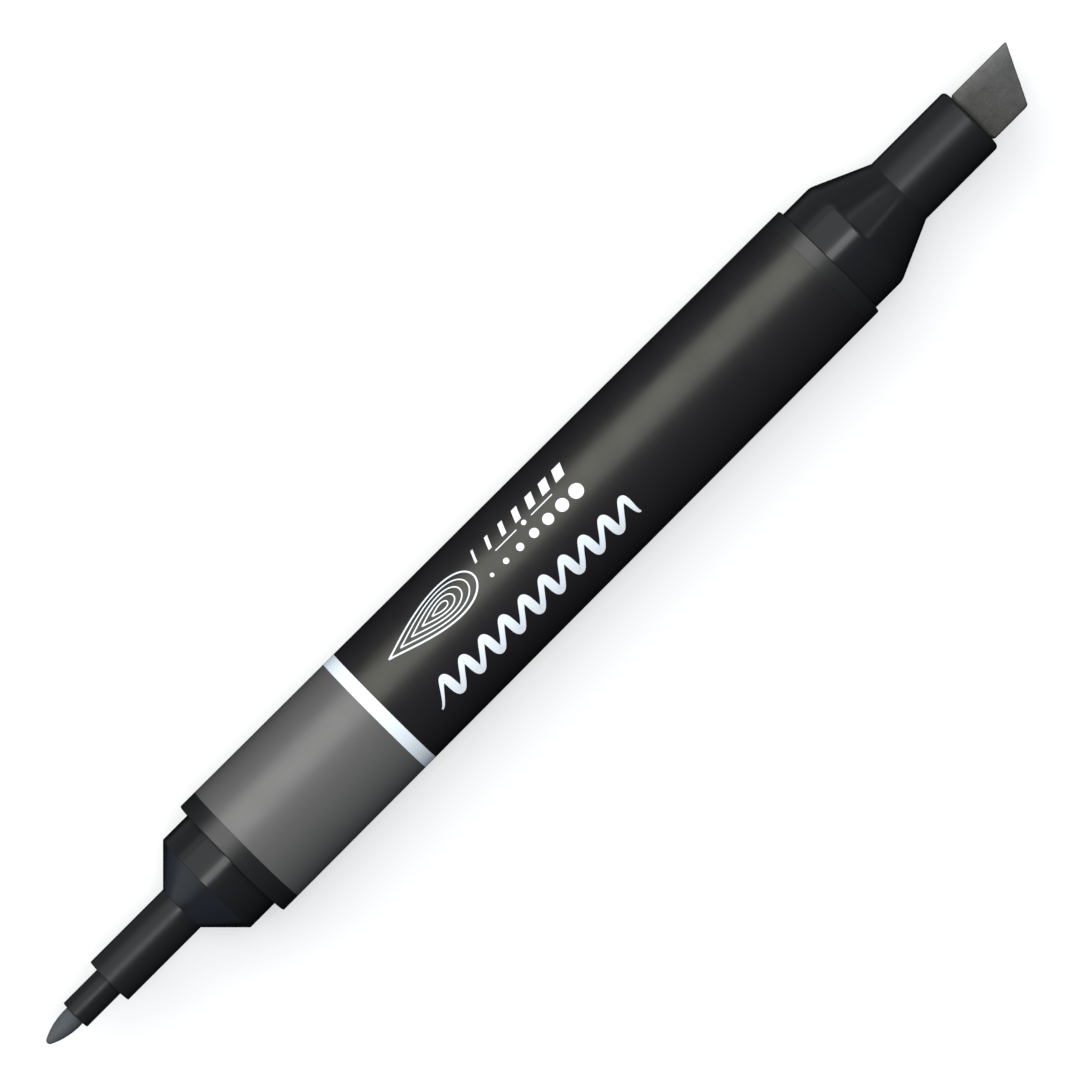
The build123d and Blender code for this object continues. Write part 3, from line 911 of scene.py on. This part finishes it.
def area_light(name, tilt, distance, width, length, radiance, colour=WHITE):
    """A soft box over the pen. It leans by tilt degrees from straight up towards +Y, and its length runs
    along X."""
    data = bpy.data.lights.new(name, "AREA")
    data.shape = "RECTANGLE"
    data.size, data.size_y = length, width
    data.energy = radiance * math.pi * width * length
    data.color = colour
    light = bpy.data.objects.new(name, data)
    lean = math.radians(tilt)
    light.location = (0, distance * math.sin(lean), distance * math.cos(lean))
    light.rotation_euler = (-lean, 0, 0)
    bpy.context.scene.collection.objects.link(light)
    return light


def glow(name, radiance, colour=WHITE, fades=False):
    """A material that adds its own light to what is behind it, and that the renderer doesn't aim rays at.
    If it fades, it is dark at the edges of a square 1 m across, and full over the middle."""
    look = Nodes(name)
    look.material.cycles.emission_sampling = "NONE"
    strength = radiance
    if fades:
        across, along = (
            look.between(look.maths("ABSOLUTE", look.along(axis)), 0.2, 0.5, full, 0.0)
            for axis, full in (("X", radiance), ("Y", 1.0))
        )
        strength = look.maths("MULTIPLY", across, along)
    light = look.add("ShaderNodeEmission", Color=(*colour, 1), Strength=strength)
    clear = look.add("ShaderNodeBsdfTransparent")
    both = look.add("ShaderNodeAddShader")
    look.feed(both.inputs[0], light.outputs[0])
    look.feed(both.inputs[1], clear.outputs[0])
    output = next(n for n in look.tree.nodes if n.type == "OUTPUT_MATERIAL")
    look.feed(output.inputs["Surface"], both.outputs[0])
    look.tree.nodes.remove(look.shader)
    return look.material


def card(name, direction, width, height, radiance, colour, shown_by):
    """A glowing card that faces the pen from that direction, and only shows in some pieces' reflections."""
    bm = bmesh.new()
    bmesh.ops.create_grid(bm, x_segments=1, y_segments=1, size=0.5)
    piece = finish_mesh(bm, name, glow(name, radiance, colour, fades=True))
    piece.scale = (width, height, 1)
    away = Vector(direction).normalized()
    piece.location = away * CARD_DISTANCE
    piece.rotation_euler = away.to_track_quat("Z", "Y").to_euler()
    piece.visible_camera = piece.visible_diffuse = piece.visible_shadow = False
    piece.light_linking.receiver_collection = shown_by


def make_lights():
    """A broad soft box on the +Y side, a fill from nearly overhead that leaves no highlight, and a bright
    strip above for the nozzles alone. The cards give the nozzles' cones and +Y flank, and the barrel's -Y
    side, something to reflect. No two share a plane, since only one of them would show. The surround is
    dim and bluish."""
    area_light(
        "soft_box", tilt=36, distance=2.0, width=1.98, length=2.2, radiance=2.98, colour=(1.0, 1.0, 0.985)
    )
    fill = area_light("fill", tilt=-5, distance=2.5, width=1.2, length=1.6, radiance=7.8)
    fill.visible_glossy = False
    strip = area_light("bright_strip", tilt=5.2, distance=2.2, width=0.55, length=1.9, radiance=12.0)
    strip.light_linking.receiver_collection = GLOSSY_PIECES
    cool, blue, warm = (0.92, 0.98, 1.0), (0.5, 0.66, 1.0), (1.0, 0.96, 0.9)
    for name, direction, width, height, radiance, colour, shown_by in (
        ("fine_cone_card", (-1.0, 0.26, -0.12), 1.3, 2.2, 1.3, cool, GLOSSY_PIECES),
        ("fine_cone_surround", (-1.0, 0.06, -0.35), 3.2, 3.4, 0.6, blue, GLOSSY_PIECES),
        ("nozzle_upper_card", (0.0, 1.0, 0.36), 4.0, 0.7, 1.7, warm, GLOSSY_PIECES),
        ("nozzle_flank_card", (0.0, 1.0, -0.25), 6.0, 3.4, 0.32, WHITE, GLOSSY_PIECES),
        ("chisel_cone_card", (0.76, 0.22, 0.55), 2.4, 0.9, 1.15, warm, GLOSSY_PIECES),
        ("chisel_cone_line", (0.78, -0.23, 0.60), 0.26, 0.9, 2.6, WHITE, GLOSSY_PIECES),
        ("chisel_cone_upper_line", (0.76, 0.42, 0.54), 0.3, 0.9, 1.4, WHITE, GLOSSY_PIECES),
        ("left_card", (-0.68, -0.45, 0.55), 1.5, 0.9, 0.8, WHITE, BODY_PIECES),
        ("right_card", (0.68, -0.45, 0.55), 1.5, 0.9, 0.8, WHITE, BODY_PIECES),
    ):
        card(name, direction, width, height, radiance, colour, shown_by)
    world = bpy.data.worlds.new("surround")
    world.use_nodes = True
    background = next(n for n in world.node_tree.nodes if n.type == "BACKGROUND")
    background.inputs["Color"].default_value = (0.5, 0.75, 1.0, 1)
    background.inputs["Strength"].default_value = 0.1
    world.cycles_visibility.glossy = False
    bpy.context.scene.world = world
    bpy.context.scene.view_settings.view_transform = "Standard"


def only_seen(piece):
    """The camera sees the piece, but it neither shades nor shows in anything."""
    piece.visible_glossy = piece.visible_diffuse = False


def make_floor():
    """A plain white floor, which glows a little so that the shadow is light, and a pale dome round it."""
    look = Nodes("floor", Base_Color=(0.5, 0.5, 0.5, 1), Roughness=0.9, Specular_IOR_Level=0.0,
                 Emission_Color=(1, 1, 1, 1), Emission_Strength=0.45)
    bm = bmesh.new()
    bmesh.ops.create_circle(bm, cap_ends=True, segments=96, radius=5.0)
    only_seen(finish_mesh(bm, "floor", look.material))
    bm = bmesh.new()
    bmesh.ops.create_uvsphere(bm, u_segments=48, v_segments=24, radius=6.0)
    dome = finish_mesh(bm, "backdrop", glow("backdrop", 0.92))
    dome.visible_shadow = False
    only_seen(dome)


make_camera()
make_lights()
make_floor()
make_barrel()
for node_name, piece_name, slot_name, film_material in (
    ("label_colour_band", "label_grey_zone", "label_grey", GREY_FILM),
    ("label_white_ring", "label_white_zone", "label_white", WHITE_FILM),
    ("label_black_panel", "label_black_zone", "label_black", BLACK_FILM),
):
    make_film(node_name, piece_name, film_material)
make_print()
make_fine_nozzle()
make_sleeve()
make_chisel_nozzle()
make_fine_nib()
make_chisel_nib()
make_reservoir()
make_wrap()
